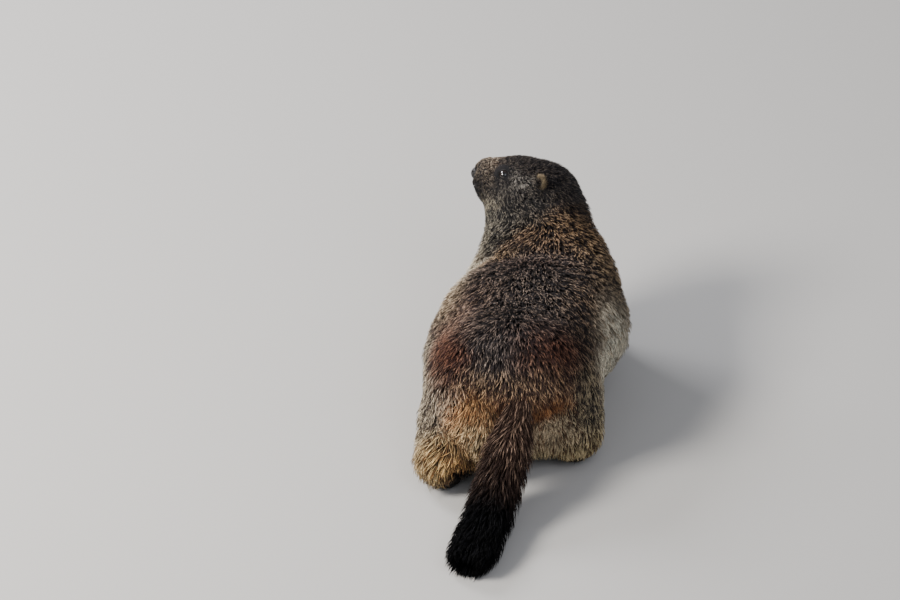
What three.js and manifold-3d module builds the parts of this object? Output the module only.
// Alpine marmot, life size, standing low on all fours, its head raised and turned to the left.
// Millimetres. +Z is up, +Y is the way the body faces, +X is its right side, and the floor is z = 0.
// The flesh and coat are one smooth field of rounded masses. Its surface is meshed region by region,
// and the regions are parted by thin cuts into the pieces that a person would name.
import * as THREE from "three";
import { mergeVertices } from "three/addons/utils/BufferGeometryUtils.js";
import Module from "manifold-3d";

const wasm = await Module();
wasm.setup();

// Driving sizes
const GAP = 0.3;
const BODY_CELL = 17.5;
const LIMB_CELL = 13;
const HEAD_CELL = 7;
const HEAD_CENTRE = new THREE.Vector3(5, 288, 175);
const HEAD_ROLL = 36;
const HEAD_PITCH = 9;
const EYE_RADIUS = 6.2;
const EYE_AT = [22.4, 6.5, 20.5];
const EAR_AT = [-15, 2, 31];
const EAR_HEIGHT = 13;
const EAR_WIDTH = 12;
const EAR_WALL = 2.2;
const NOSE_AT = [51.5, 4.5, 0];
const TAIL_ROOT = new THREE.Vector3(-2, 24, 92);
const TAIL_TIP = new THREE.Vector3(-56, -140, 13);
const TAIL_CORE = 14;
const TAIL_BRUSH = 29;
const TAIL_ROWS = 7;
const TAIL_LOCKS = 8;
const HIND_FOOT = 86;
const FORE_FOOT = 56;

const vector = (x, y, z) => new THREE.Vector3(x, y, z);
const degrees = THREE.MathUtils.degToRad;
const mix = THREE.MathUtils.lerp;

// Head frame: ahead towards the nose, above through the crown, aside towards the left cheek.
const imageUp = vector(0, Math.sin(degrees(HEAD_ROLL)), Math.cos(degrees(HEAD_ROLL)));
const ahead = vector(-1, 0, 0)
  .multiplyScalar(Math.cos(degrees(HEAD_PITCH)))
  .addScaledVector(imageUp, Math.sin(degrees(HEAD_PITCH)));
const above = vector(1, 0, 0)
  .multiplyScalar(Math.sin(degrees(HEAD_PITCH)))
  .addScaledVector(imageUp, Math.cos(degrees(HEAD_PITCH)));
const aside = above.clone().cross(ahead);
const headPoint = (a, b, c) =>
  HEAD_CENTRE.clone().addScaledVector(ahead, a).addScaledVector(above, b).addScaledVector(aside, c);

// Masses of the field. A ball is an ellipsoid, a bar is a round cone between two points.
const worldAxes = [vector(1, 0, 0), vector(0, 1, 0), vector(0, 0, 1)];
const headAxes = [ahead, above, aside];
const ball = (centre, radii, blend, axes = worldAxes) => ({ centre, radii, blend, axes });
const bar = (from, to, rFrom, rTo, blend) => ({ from, to, rFrom, rTo, blend });
const headBall = (at, radii, blend) => ball(headPoint(...at), radii, blend, headAxes);
const headBar = (from, to, rFrom, rTo, blend) =>
  bar(headPoint(...from), headPoint(...to), rFrom, rTo, blend);

const TRUNK_MASSES = [
  ball(vector(-8, 82, 92), [78, 66, 66], 0),
  ball(vector(-8, 58, 44), [66, 44, 38], 22),
  ball(vector(-42, 34, 48), [34, 34, 40], 18),
  ball(vector(13, 158, 90), [98, 84, 72], 30),
  ball(vector(-38, 132, 66), [62, 60, 52], 24),
  ball(vector(43, 164, 87), [58, 50, 46], 24),
  ball(vector(24, 236, 102), [69, 60, 61], 26),
  ball(vector(57, 200, 100), [43, 46, 50], 24),
  bar(vector(26, 246, 120), headPoint(-16, -24, 0), 54, 42, 26),
  bar(vector(-2, 258, 116), headPoint(6, -26, 0), 34, 30, 18),
];
const HEAD_MASSES = [
  headBall([-12.5, 2, 0], [44, 28.5, 34], 14),
  headBall([-22.5, -24, 0], [51, 37, 38], 14),
  headBar([10, 3, 0], [36, 4, 0], 25, 20, 14),
  headBar([5, -14, 0], [35, -10.5, 0], 18, 12, 12),
  headBall([-4, -12, 17], [28, 22, 20], 12),
  headBall([-4, -12, -17], [28, 22, 20], 12),
];
const HINDLEGS = {
  left: { heel: vector(-79, 2, 0), knee: vector(-61, 74, 66), toeOut: -4, outward: -1 },
  right: { heel: vector(54, 46, 0), knee: vector(44, 100, 66), toeOut: 4, outward: 1 },
};
const FORELEGS = {
  left: { wrist: vector(-22, 264, 0), elbow: vector(-34, 224, 58), toeOut: 4 },
  right: { wrist: vector(64, 264, 0), elbow: vector(76, 224, 58), toeOut: -4 },
};
const haunchMasses = ({ heel, knee, outward }) => [
  ball(knee, [38, 62, 56], 20),
  bar(heel.clone().add(vector(-4 * outward, 56, 42)), heel.clone().add(vector(0, 14, 29)), 28, 30, 24),
];
const foreMasses = ({ wrist, elbow }) => [
  bar(wrist.clone().add(vector(0, -34, 84)), elbow, 34, 29, 22),
  bar(elbow, wrist.clone().add(vector(0, 4, 20)), 24, 15, 12),
];
const MASSES = [
  ...TRUNK_MASSES,
  ...haunchMasses(HINDLEGS.left),
  ...haunchMasses(HINDLEGS.right),
  ...foreMasses(FORELEGS.left),
  ...foreMasses(FORELEGS.right),
  ...HEAD_MASSES,
];

// Distance to one mass, negative inside.
function massDistance(mass, p) {
  if (mass.centre) {
    const d = p.clone().sub(mass.centre);
    const q = vector(d.dot(mass.axes[0]), d.dot(mass.axes[1]), d.dot(mass.axes[2]));
    const r = vector(...mass.radii);
    const near = q.clone().divide(r).length();
    const slope = q.clone().divide(r).divide(r).length();
    return slope > 1e-9 ? (near * (near - 1)) / slope : -Math.min(...mass.radii);
  }
  const along = mass.to.clone().sub(mass.from);
  const t = THREE.MathUtils.clamp(p.clone().sub(mass.from).dot(along) / along.lengthSq(), 0, 1);
  return p.distanceTo(mass.from.clone().addScaledVector(along, t)) - mix(mass.rFrom, mass.rTo, t);
}

// The field is the smooth union of all masses, each blended into those before it over its own width.
function bodyField(p) {
  let total = Infinity;
  for (const mass of MASSES) {
    const d = massDistance(mass, p);
    if (!mass.blend || total === Infinity) {
      total = Math.min(total, d);
      continue;
    }
    const h = Math.max(mass.blend - Math.abs(total - d), 0) / mass.blend;
    total = Math.min(total, d) - h * h * mass.blend * 0.25;
  }
  return total;
}

function gradient(field, p, step = 0.5) {
  const slope = vector(0, 0, 0);
  for (const axis of ["x", "y", "z"]) {
    const more = p.clone();
    const less = p.clone();
    more[axis] += step;
    less[axis] -= step;
    slope[axis] = (field(more) - field(less)) / (2 * step);
  }
  return slope;
}

// Moves a point along the slope of the field until it lies on the surface.
function ontoSurface(field, p, rounds = 4) {
  const q = p.clone();
  for (let i = 0; i < rounds; i++) {
    const slope = gradient(field, q);
    q.addScaledVector(slope, -field(q) / Math.max(slope.lengthSq(), 0.2));
  }
  return q;
}

// Surface net of field < 0 inside a box: one point in each cell that the surface crosses, and two
// triangles across each crossed edge of the grid. Samples on the box's sides count as outside.
function surfaceNet(field, box, cell) {
  const n = box.getSize(vector(0, 0, 0)).divideScalar(cell).ceil().addScalar(1).toArray();
  const stride = [1, n[0], n[0] * n[1]];
  const at = (i, j, k) => box.min.clone().add(vector(i, j, k).multiplyScalar(cell));
  const value = new Float64Array(n[0] * n[1] * n[2]);
  for (let k = 0; k < n[2]; k++)
    for (let j = 0; j < n[1]; j++)
      for (let i = 0; i < n[0]; i++) {
        const rim = [i, j, k].some((v, axis) => v === 0 || v === n[axis] - 1);
        const d = field(at(i, j, k));
        value[i + j * stride[1] + k * stride[2]] = rim ? Math.max(d, cell / 2) : d;
      }
  const points = [];
  const pointOf = new Int32Array(value.length).fill(-1);
  const corners = [...Array(8).keys()].map((c) => [c & 1, (c >> 1) & 1, (c >> 2) & 1]);
  for (let k = 0; k < n[2] - 1; k++)
    for (let j = 0; j < n[1] - 1; j++)
      for (let i = 0; i < n[0] - 1; i++) {
        const base = i + j * stride[1] + k * stride[2];
        const v = corners.map(([a, b, c]) => value[base + a + b * stride[1] + c * stride[2]]);
        if (v.every((d) => d < 0) || v.every((d) => d >= 0)) continue;
        const sum = vector(0, 0, 0);
        let count = 0;
        for (let c = 0; c < 8; c++)
          for (const axis of [0, 1, 2]) {
            const other = c | (1 << axis);
            if (other === c || v[c] < 0 === v[other] < 0) continue;
            const t = v[c] / (v[c] - v[other]);
            sum.add(vector(...corners[c]).lerp(vector(...corners[other]), t));
            count++;
          }
        const p = at(i, j, k).addScaledVector(sum, cell / count);
        const rim = [i, j, k].some((x, axis) => x === 0 || x === n[axis] - 2);
        pointOf[base] = points.length;
        points.push(rim ? p : ontoSurface(field, p, 2));
      }
  const faces = [];
  for (let k = 0; k < n[2] - 1; k++)
    for (let j = 0; j < n[1] - 1; j++)
      for (let i = 0; i < n[0] - 1; i++) {
        const here = [i, j, k];
        const base = i + j * stride[1] + k * stride[2];
        for (const axis of [0, 1, 2]) {
          const [u, w] = [(axis + 1) % 3, (axis + 2) % 3];
          if (here[u] === 0 || here[w] === 0) continue;
          const inside = value[base] < 0;
          if (inside === value[base + stride[axis]] < 0) continue;
          const ring = [base, base - stride[u], base - stride[u] - stride[w], base - stride[w]];
          const quad = ring.map((c) => pointOf[c]);
          if (!inside) quad.reverse();
          faces.push(quad[0], quad[1], quad[2], quad[0], quad[2], quad[3]);
        }
      }
  return solidFrom(points, faces);
}

// Solids from points and faces, and from three.js geometry
function solidFrom(points, faces) {
  const geometry = new THREE.BufferGeometry().setFromPoints(points);
  geometry.setIndex(faces);
  return solidOf(geometry);
}

function solidOf(geometry) {
  const bare = geometry.index ? geometry.toNonIndexed() : geometry.clone();
  bare.deleteAttribute("normal");
  bare.deleteAttribute("uv");
  const merged = mergeVertices(bare, 1e-4);
  const build = (triVerts) =>
    new wasm.Manifold(
      new wasm.Mesh({ numProp: 3, vertProperties: merged.attributes.position.array, triVerts }),
    );
  const faces = Uint32Array.from(dropFlat(merged.index.array));
  const solid = build(faces);
  return solid.volume() > 0 ? solid : build(faces.reverse());
}

// Faces whose corners were merged into one another have no area.
function dropFlat(index) {
  const kept = [];
  for (let i = 0; i < index.length; i += 3) {
    const [a, b, c] = [index[i], index[i + 1], index[i + 2]];
    if (a !== b && b !== c && a !== c) kept.push(a, b, c);
  }
  return kept;
}

const largest = (solid) => solid.decompose().reduce((a, b) => (b.volume() > a.volume() ? b : a));

// The mesh of a solid once slivers thinner than a few hundredths are gone
function geometryOf(solid) {
  const mesh = largest(solid.simplify(0.03)).getMesh();
  const position = new THREE.BufferAttribute(mesh.vertProperties, 3);
  const geometry = new THREE.BufferGeometry().setAttribute("position", position);
  return geometry.setIndex(new THREE.BufferAttribute(mesh.triVerts, 1)).toNonIndexed();
}

const union = (solids) => solids.reduce((a, b) => a.add(b));

// Closed tube through rings. A ring is { at, across, over, wide, high }: its centre, the directions of its
// width and height, and the half sizes. A ring of no width closes to a point, any other end is capped.
function tube(rings, sides) {
  const points = [];
  const starts = [];
  for (const ring of rings) {
    starts.push(points.length);
    if (ring.wide === 0) {
      points.push(ring.at.clone());
      continue;
    }
    for (let s = 0; s < sides; s++) {
      const angle = (2 * Math.PI * s) / sides;
      points.push(
        ring.at.clone()
          .addScaledVector(ring.across, ring.wide * Math.cos(angle))
          .addScaledVector(ring.over, ring.high * Math.sin(angle)),
      );
    }
  }
  const faces = [];
  for (let r = 0; r + 1 < rings.length; r++) {
    const [a, b] = [starts[r], starts[r + 1]];
    for (let s = 0; s < sides; s++) {
      const t = (s + 1) % sides;
      if (rings[r].wide === 0) faces.push(a, b + t, b + s);
      else if (rings[r + 1].wide === 0) faces.push(a + s, a + t, b);
      else faces.push(a + s, a + t, b + t, a + s, b + t, b + s);
    }
  }
  const ends = [
    [0, true],
    [rings.length - 1, false],
  ];
  for (const [r, first] of ends) {
    if (rings[r].wide === 0) continue;
    for (let s = 1; s + 1 < sides; s++) {
      const fan = [starts[r], starts[r] + s, starts[r] + s + 1];
      faces.push(...(first ? fan.reverse() : fan));
    }
  }
  return solidFrom(points, faces);
}

// Tube along a curve, with the half sizes given by functions of the share of its length.
function sweep(curve, wide, high, upward, steps, sides) {
  const rings = [];
  for (let i = 0; i <= steps; i++) {
    const t = i / steps;
    const tangent = curve.getTangent(t);
    const across = tangent.clone().cross(upward).normalize();
    const over = across.clone().cross(tangent).normalize();
    rings.push({ at: curve.getPoint(t), across, over, wide: wide(t), high: high(t) });
  }
  return tube(rings, sides);
}

const curveThrough = (...points) => new THREE.CatmullRomCurve3(points);

function ellipsoid(centre, radii, axes = worldAxes, around = 20, up = 12) {
  const frame = new THREE.Matrix4().makeBasis(...axes).setPosition(centre);
  const size = new THREE.Matrix4().makeScale(...radii);
  const geometry = new THREE.SphereGeometry(1, around, up).applyMatrix4(size).applyMatrix4(frame);
  return solidOf(geometry);
}

const grown = (radii, by) => radii.map((r) => r + by);
const above0 = (solid, level = 0) => solid.trimByPlane([0, 0, 1], level);

// Cutting planes: a point and the direction that the kept side lies in
const throatCut = {
  at: headPoint(-4, -24, 0),
  towards: above.clone().multiplyScalar(0.93).addScaledVector(ahead, 0.37),
};
const collarCut = { at: vector(20, 262, 135), towards: vector(-0.08, 0.8, 0.6) };
const keep = (solid, cut, sign) => {
  const n = cut.towards.clone().normalize().multiplyScalar(sign);
  return solid.trimByPlane(n.toArray(), n.dot(cut.at) + GAP / 2);
};

// Feet. Each is a sole with toes fused in code; the claws are pieces of their own.
function footFrame({ toeOut }, origin) {
  const turn = degrees(toeOut);
  const forward = vector(-Math.sin(turn), Math.cos(turn), 0);
  const right = vector(Math.cos(turn), Math.sin(turn), 0);
  return (x, y, z) =>
    origin.clone().addScaledVector(right, x).addScaledVector(forward, y).add(vector(0, 0, z));
}

const HIND_TOES = { count: 5, spread: 11, length: 23, radius: 4.6, fan: 9, base: 0.7, span: HIND_FOOT };
const FORE_TOES = { count: 4, spread: 10, length: 21, radius: 4.4, fan: 11, base: 0.58, span: FORE_FOOT };

// Middle toes reach further than the outer ones.
function toeLine(place, toes, index) {
  const off = index - (toes.count - 1) / 2;
  const reach = toes.length * (1 - 0.05 * off * off);
  const lean = Math.sin(degrees(toes.fan * off));
  const root = place(off * toes.spread * 0.62, toes.span * toes.base, 8);
  const start = toes.span * toes.base;
  const knuckle = place(off * toes.spread * 0.85 + lean * reach * 0.3, start + reach * 0.55, 8.6);
  const end = place(off * toes.spread + lean * reach * 0.6, start + reach, 4.6);
  return { root, knuckle, end };
}

function toeSolid(place, toes, index) {
  const { root, knuckle, end } = toeLine(place, toes, index);
  const round = (t) => toes.radius * (t > 0.98 ? 0.6 : 1 - 0.12 * t);
  return sweep(curveThrough(root, knuckle, end), round, round, vector(0, 0, 1), 3, 5);
}

// A claw grows from the end face of its toe and curves down to a point just above the floor.
function clawSolid(place, toes, index) {
  const { knuckle, end } = toeLine(place, toes, index);
  const down = end.clone().sub(knuckle).normalize();
  const level = down.clone().setZ(0).normalize();
  const base = end.clone().addScaledVector(down, GAP + 0.3);
  const points = [
    base,
    base.clone().addScaledVector(down, 2),
    base.clone().addScaledVector(level, 6).setZ(3.6),
    base.clone().addScaledVector(level, 10.5).setZ(0.9),
  ];
  const thick = (t) => (t > 0.99 ? 0 : 1.9 * (1 - 0.75 * t));
  const deep = (t) => (t > 0.99 ? 0 : 2.4 * (1 - 0.7 * t));
  return sweep(curveThrough(...points), thick, deep, vector(0, 0, 1), 3, 4);
}

const SOLE_HEIGHT = 8;
const SOLE_DEPTH = 10.5;
const hindWidth = (t) => 10.5 + 8 * Math.sin(Math.min(t, 0.85) * 1.85);
const foreWidth = (t) => 11 + 5.5 * Math.sin(t * 2.4);

function soleSolid(place, toes, wide) {
  const front = toes.span * toes.base + 6;
  const path = curveThrough(place(0, 2, SOLE_HEIGHT), place(0, front, SOLE_HEIGHT - 0.5));
  return sweep(path, wide, (t) => SOLE_DEPTH - 2.5 * t, vector(0, 0, 1), 4, 8);
}

// The room that flesh leaves for a foot: its sole and all of its toes, each wider by the gap
function footRoom(place, toes, wide) {
  const tip = toes.span * toes.base + toes.length + 4;
  const path = curveThrough(place(0, 1, SOLE_HEIGHT), place(0, tip, SOLE_HEIGHT));
  const half = (t) => 2 + wide(Math.min(1, t * 1.35)) + 26 * Math.max(0, t - 0.45);
  return sweep(path, half, (t) => SOLE_DEPTH + 0.9 - 2 * t, vector(0, 0, 1), 4, 8);
}

function footPieces(name, place, toes, wide) {
  const indexes = [...Array(toes.count).keys()];
  const foot = union([soleSolid(place, toes, wide), ...indexes.map((i) => toeSolid(place, toes, i))]);
  const pieces = { [name]: largest(above0(foot)) };
  for (const i of indexes) pieces[`${name}_claw_${i + 1}`] = clawSolid(place, toes, i);
  return { pieces, room: footRoom(place, toes, wide) };
}

// Locks. Each is a flat blade along a bending path: widest near its root, thinner all the way to the
// point. The outward direction at each point keeps its flat side against the coat.
const LOCK_WIDTH = [0.8, 1, 0.72, 0];
const LOCK_THICKNESS = [1, 0.95, 0.7, 0];

function lockSolid(path, outward, halfWidth, halfThickness) {
  const rings = path.map((at, i) => {
    const before = path[Math.max(i - 1, 0)];
    const after = path[Math.min(i + 1, path.length - 1)];
    const along = after.clone().sub(before).normalize();
    const across = along.clone().cross(outward[i]).normalize();
    const over = across.clone().cross(along).normalize();
    return { at, across, over, wide: halfWidth * LOCK_WIDTH[i], high: halfThickness * LOCK_THICKNESS[i] };
  });
  return tube(rings, 4);
}

// Seeded draw, the same in every run
let seed = 20250818;
function draw(low, high) {
  seed = (seed * 1103515245 + 12345) % 2147483648;
  return mix(low, high, seed / 2147483648);
}

// A lock on the coat of the body: its root is sunk into the surface and the rest follows the lie.
function coatLock(root, lie, length, halfWidth, lift) {
  const path = [];
  const outward = [];
  let at = ontoSurface(bodyField, root);
  const heights = [-5, lift * 0.7, lift, lift];
  for (let i = 0; i < heights.length; i++) {
    const out = gradient(bodyField, at).normalize();
    path.push(at.clone().addScaledVector(out, heights[i]));
    outward.push(out);
    const along = lie.clone().addScaledVector(out, -lie.dot(out)).normalize();
    at = ontoSurface(bodyField, at.clone().addScaledVector(along, length * (i === 0 ? 0.22 : 0.39)));
  }
  return lockSolid(path, outward, halfWidth, 1.5);
}

// Tail: a narrow core and a brush of tapered locks, laid on the floor from half way.
const tailCurve = curveThrough(
  TAIL_ROOT.clone().add(vector(2, 26, 8)),
  TAIL_ROOT,
  vector(-13, -12, 62),
  vector(-31, -62, 24),
  vector(-43, -104, 16),
  TAIL_TIP,
);
const TAIL_LENGTH = tailCurve.getLength();

function tailCore(extra = 0) {
  const wide = (t) => extra + TAIL_CORE * (1 + 0.55 * Math.exp(-t * 5)) * (t > 0.93 ? 0.62 : 1);
  const high = (t) => 0.86 * wide(t);
  return sweep(tailCurve, wide, high, vector(0, 0, 1), 14, 10);
}

// Point of the tail at a share of its length, at an angle round it and a distance out
function tailPoint(share, angle, out) {
  const t = Math.min(share, 1);
  const tangent = tailCurve.getTangent(t);
  const at = tailCurve.getPointAt(t).addScaledVector(tangent, (share - t) * TAIL_LENGTH);
  const across = tangent.clone().cross(vector(0, 0, 1)).normalize();
  const over = across.clone().cross(tangent);
  const radial = across.multiplyScalar(Math.cos(angle)).addScaledVector(over, Math.sin(angle) * 0.8);
  return { at: at.addScaledVector(radial, out), radial };
}

// The brush is slim at the root, full along the middle and closes to a blunt end past the core.
function brushRadius(share) {
  const swell = mix(0.6, 1, THREE.MathUtils.smoothstep(share, 0.08, 0.36));
  return TAIL_BRUSH * swell * (1 - 0.75 * THREE.MathUtils.smoothstep(share, 0.9, 1.25));
}

// One lock of the brush, or none where it would run into the rump
function tailLock(share, angle, length, halfWidth) {
  const reach = length / TAIL_LENGTH;
  const turn = angle + draw(-0.12, 0.12);
  const full = draw(0.88, 1.04);
  const stations = [
    [0, 0.45 * TAIL_CORE],
    [0.3, mix(TAIL_CORE, full * brushRadius(share + 0.3 * reach), 0.6)],
    [0.65, full * brushRadius(share + 0.65 * reach) * 0.97],
    [1, full * brushRadius(share + reach)],
  ].map(([along, out]) => tailPoint(share + along * reach, mix(angle, turn, along), out));
  if (stations.slice(1).some((s) => bodyField(s.at) < 6)) return [];
  return [lockSolid(stations.map((s) => s.at), stations.map((s) => s.radial), halfWidth, 1.7)];
}

function tailBrush() {
  const locks = [];
  for (let row = 0; row < TAIL_ROWS; row++) {
    const share = mix(0.2, 0.9, row / (TAIL_ROWS - 1));
    const count = row === TAIL_ROWS - 1 ? TAIL_LOCKS - 2 : TAIL_LOCKS;
    for (let i = 0; i < count; i++) {
      const angle = ((i + (row % 2) / 2) / count) * 2 * Math.PI + draw(-0.1, 0.1);
      locks.push(...tailLock(share + draw(-0.015, 0.015), angle, draw(47, 56), draw(7.6, 9)));
    }
  }
  return locks;
}

// Longer hair on the haunches, hanging down and back. Each lock is rooted well inside the thigh, clear of
// the cuts to the trunk and the shank.
function haunchLocks({ knee }, outward) {
  const lie = vector(outward * 0.12, -0.5, -0.86);
  const haunch = haunchShape({ knee }, outward);
  const split = kneePlane({ knee });
  const overShank = (root) => root.clone().sub(split.at).dot(split.towards);
  const rows = [
    { rise: 32, turns: [14, 42, 68] },
    { rise: 10, turns: [2, 28, 54, 80] },
    { rise: -10, turns: [14, 40, 66] },
    { rise: -26, turns: [4, 28, 54, 80] },
  ];
  const locks = [];
  for (const { rise, turns } of rows)
    for (const turn of turns) {
      const way = degrees(turn + draw(-4, 4));
      const offset = vector(outward * 44 * Math.sin(way), -62 * Math.cos(way), rise + draw(-3, 3));
      const root = ontoSurface(bodyField, knee.clone().add(offset));
      const lock = coatLock(root, lie, draw(42, 54), draw(8.5, 10.5), draw(4.4, 5.4));
      if (massDistance(haunch, root) < -10 && overShank(root) > 11) locks.push(lock);
    }
  return locks;
}

// Hem of the coat along each flank, between the haunch and the arm
function flankLocks(hind, fore, outward) {
  const locks = [];
  for (let y = 128; y < 216; y += 12) {
    const root = ontoSurface(bodyField, vector(10 + outward * 100, y + draw(-3, 3), draw(50, 60)));
    const lock = coatLock(root, vector(0, -0.5, -0.86), draw(34, 44), draw(8.5, 10), 4);
    const limbs = [haunchShape(hind, outward), armShape(fore, outward)];
    if (limbs.every((limb) => massDistance(limb, root) > 10)) locks.push(lock);
  }
  return locks;
}

// Ear: a short round cup, open forwards and outwards.
function earPieces(side) {
  const [a, b, c] = EAR_AT;
  const root = headPoint(a, b, c * side);
  const headWay = (x, y, z) =>
    ahead.clone().multiplyScalar(x).addScaledVector(above, y).addScaledVector(aside, z * side);
  const up = headWay(-0.2, 0.72, 0.66).normalize();
  const face = headWay(0.8, -0.2, 0.5);
  face.addScaledVector(up, -face.dot(up)).normalize();
  const cross = up.clone().cross(face).normalize();
  const axes = [cross, up, face];
  const middle = root.clone().addScaledVector(up, EAR_HEIGHT * 0.26);
  const shell = [EAR_WIDTH / 2, EAR_HEIGHT * 0.52, 4.9];
  const outer = ellipsoid(middle, shell, axes, 10, 7);
  const hollowAt = middle.clone().addScaledVector(face, 3.4).addScaledVector(up, 0.5);
  const hollow = ellipsoid(hollowAt, grown(shell, -EAR_WALL + 0.4), axes, 8, 6);
  const socket = ellipsoid(middle, grown(shell, GAP), axes, 10, 7);
  return { ear: largest(outer.subtract(hollow)), socket };
}

// Eye with an upper and a lower lid
function eyePieces(side) {
  const [a, b, c] = EYE_AT;
  const centre = headPoint(a, b, c * side);
  const lids = [1, -1].map((way) => {
    const points = [...Array(7).keys()].map((i) => {
      const turn = mix(-0.5, 0.5, i / 6) * Math.PI;
      const open = EYE_RADIUS * (0.62 * Math.cos(turn) * way + 0.03);
      const along = EYE_RADIUS * (1.06 + 0.04 * way) * Math.sin(turn);
      const out = Math.sqrt(Math.max(0, (EYE_RADIUS + 0.6) ** 2 - open ** 2 - along ** 2 * 0.8));
      return headPoint(a + along, b + open, (c + out * 0.93) * side);
    });
    const thick = (t) => 0.9 + 0.9 * Math.sin(Math.PI * t);
    return sweep(curveThrough(...points), thick, thick, aside.clone().multiplyScalar(side), 8, 5);
  });
  return {
    eye: ellipsoid(centre, [EYE_RADIUS, EYE_RADIUS, EYE_RADIUS], headAxes, 12, 8),
    socket: ellipsoid(centre, grown([EYE_RADIUS, EYE_RADIUS, EYE_RADIUS], GAP + 0.3), headAxes, 12, 8),
    lids: union(lids),
  };
}

// Nose pad with two nostrils
function nosePieces() {
  const [a, b, c] = NOSE_AT;
  const shape = [5.2, 6.2, 7.6];
  const pad = ellipsoid(headPoint(a, b, c), shape, headAxes, 12, 8);
  const nostrils = [1, -1].map((side) =>
    ellipsoid(headPoint(a + 4.1, b - 0.4, 3.5 * side), [2.6, 1.5, 1.7], headAxes, 6, 4),
  );
  const socket = ellipsoid(headPoint(a, b, c), grown(shape, GAP), headAxes, 12, 8);
  return { pad: largest(pad.subtract(union(nostrils))), socket };
}

// Line of the mouth: lips round the front of the muzzle from corner to corner, and the groove between them
function mouthPieces() {
  const points = [...Array(9).keys()].map((i) => {
    const turn = degrees(mix(-112, 112, i / 8));
    const corner = Math.max(0, Math.abs(turn) - 0.9);
    const along = 35 + 15 * Math.cos(turn) - 6 * corner;
    const height = -6.5 - 2.4 * Math.abs(turn) + 4.5 * corner;
    return ontoSurface(bodyField, headPoint(along, height, 16 * Math.sin(turn)));
  });
  const curve = curveThrough(...points);
  const fade = (t) => Math.sin(Math.PI * mix(0.1, 0.9, t));
  const lips = sweep(curve, (t) => 1.9 * fade(t), (t) => 1.9 * fade(t), above, 12, 5);
  const groove = sweep(curve, (t) => 2.3 * fade(t), (t) => 0.8 * fade(t), above, 11, 4);
  return { lips, groove };
}

// Regions of the body
const BODY_BOX = new THREE.Box3(vector(-135, -40, -12), vector(135, 350, 225));
const headBox = () => new THREE.Box3().setFromPoints(
  [-75, 75].flatMap((a) => [-58, 48].flatMap((b) => [-55, 55].map((c) => headPoint(a, b, c)))),
);

const haunchShape = ({ knee }, outward) =>
  ball(knee.clone().add(vector(outward * 22, -8, -14)), [44, 78, 66], 0);

function haunchCutter(leg, outward, extra = 0) {
  const { centre, radii } = haunchShape(leg, outward);
  return ellipsoid(centre, grown(radii, extra), worldAxes, 14, 8);
}

const armShape = ({ elbow }, outward) =>
  ball(elbow.clone().add(vector(outward * 14, 18, -4)), [36, 48, 56], 0);

function foreCutter(leg, outward, extra = 0) {
  const { centre, radii } = armShape(leg, outward);
  return ellipsoid(centre, grown(radii, extra), worldAxes, 12, 7);
}

function limbBox(cutter) {
  const { min, max } = cutter.boundingBox();
  return new THREE.Box3(vector(...min).subScalar(14), vector(...max).addScalar(14));
}

const kneePlane = ({ knee }) => ({ at: knee.clone().setZ(37), towards: vector(0, -0.24, 0.97) });
const elbowCut = { at: vector(0, 240, 46), towards: vector(0, -0.2, 1) };

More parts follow.
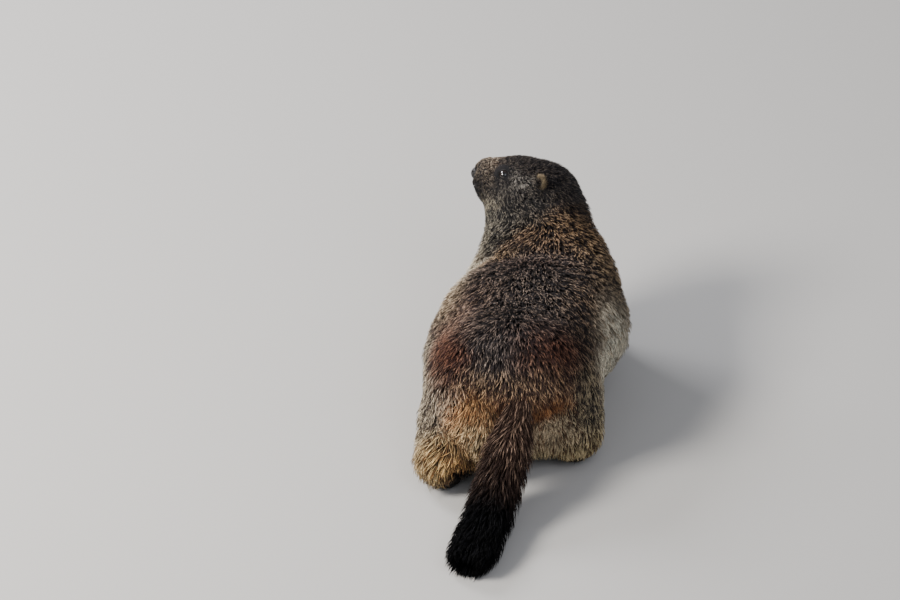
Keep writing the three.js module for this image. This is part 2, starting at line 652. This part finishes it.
// The whole animal, piece by piece
function buildPieces() {
  const pieces = {};
  const whole = surfaceNet(bodyField, BODY_BOX, BODY_CELL);
  const head = surfaceNet(bodyField, headBox(), HEAD_CELL);
  let trunk = keep(whole, collarCut, -1);
  const neck = keep(keep(whole, collarCut, 1), throatCut, -1);

  for (const [side, outward] of [["left", -1], ["right", 1]]) {
    const hind = HINDLEGS[side];
    const hindFrame = footFrame(hind, hind.heel);
    const hindFoot = footPieces(`hindfoot_${side}`, hindFrame, HIND_TOES, hindWidth);
    const cutter = haunchCutter(hind, outward);
    const flesh = surfaceNet(bodyField, limbBox(cutter), LIMB_CELL);
    const haunch = flesh.intersect(cutter).subtract(hindFoot.room);
    const split = kneePlane(hind);
    const thigh = keep(haunch, split, 1).add(union(haunchLocks(hind, outward)));
    pieces[`thigh_${side}`] = largest(above0(thigh, 1));
    pieces[`shank_${side}`] = largest(above0(keep(haunch, split, -1), 2));
    trunk = trunk.subtract(haunchCutter(hind, outward, GAP)).subtract(hindFoot.room);
    Object.assign(pieces, hindFoot.pieces);

    const fore = FORELEGS[side];
    const foreFrame = footFrame(fore, fore.wrist);
    const foreFoot = footPieces(`forefoot_${side}`, foreFrame, FORE_TOES, foreWidth);
    const foreShape = foreCutter(fore, outward);
    const arm = surfaceNet(bodyField, limbBox(foreShape), LIMB_CELL).intersect(foreShape);
    pieces[`upperarm_${side}`] = largest(keep(arm, elbowCut, 1));
    pieces[`forearm_${side}`] = largest(above0(keep(arm, elbowCut, -1), 3).subtract(foreFoot.room));
    trunk = trunk.subtract(foreCutter(fore, outward, GAP)).subtract(foreFoot.room);
    trunk = trunk.add(union(flankLocks(hind, fore, outward)));
    Object.assign(pieces, foreFoot.pieces);
  }

  pieces.tail = largest(above0(union([tailCore(), ...tailBrush()])));
  pieces.torso = largest(above0(trunk, 4).subtract(tailCore(GAP)));
  pieces.neck = largest(neck);

  const nose = nosePieces();
  const mouth = mouthPieces();
  let face = keep(head, throatCut, 1).add(mouth.lips);
  for (const [side, way] of [["left", 1], ["right", -1]]) {
    const eye = eyePieces(way);
    const ear = earPieces(way);
    face = face.add(eye.lids).subtract(eye.socket).subtract(ear.socket);
    pieces[`eye_${side}`] = eye.eye;
    pieces[`ear_${side}`] = ear.ear;
  }
  pieces.head = largest(face.subtract(mouth.groove).subtract(nose.socket));
  pieces.nose = nose.pad;
  return pieces;
}

// Materials and the group of named meshes
const FINISH = {
  coat: new THREE.MeshStandardMaterial({ color: "#5d4a38", roughness: 0.95, metalness: 0 }),
  dark_coat: new THREE.MeshStandardMaterial({ color: "#2a221e", roughness: 0.95, metalness: 0 }),
  tawny_coat: new THREE.MeshStandardMaterial({ color: "#8d6a41", roughness: 0.95, metalness: 0 }),
  brush: new THREE.MeshStandardMaterial({ color: "#171312", roughness: 0.9, metalness: 0 }),
  sole: new THREE.MeshStandardMaterial({ color: "#3a302b", roughness: 0.8, metalness: 0 }),
  claw: new THREE.MeshStandardMaterial({ color: "#1d1815", roughness: 0.45, metalness: 0 }),
  nose: new THREE.MeshStandardMaterial({ color: "#151211", roughness: 0.5, metalness: 0 }),
  eye: new THREE.MeshStandardMaterial({ color: "#0b0a0a", roughness: 0.08, metalness: 0 }),
  ear: new THREE.MeshStandardMaterial({ color: "#9a7c55", roughness: 0.9, metalness: 0 }),
};
const finishOf = (name) => {
  if (name.includes("claw")) return FINISH.claw;
  if (name.startsWith("eye")) return FINISH.eye;
  if (name.startsWith("ear")) return FINISH.ear;
  if (name.includes("foot")) return FINISH.sole;
  if (name.startsWith("thigh") || name.startsWith("shank")) return FINISH.tawny_coat;
  if (name === "head") return FINISH.dark_coat;
  if (name === "tail") return FINISH.brush;
  return name === "nose" ? FINISH.nose : FINISH.coat;
};

const marmot = new THREE.Group();
for (const [name, solid] of Object.entries(buildPieces())) {
  const mesh = new THREE.Mesh(geometryOf(solid), finishOf(name));
  mesh.name = name;
  marmot.add(mesh);
}

// The origin is on the floor, under the middle of the animal's own box.
const extent = new THREE.Box3().setFromObject(marmot);
const middle = extent.getCenter(vector(0, 0, 0));
marmot.position.set(-middle.x, -middle.y, -extent.min.z);

export default marmot;
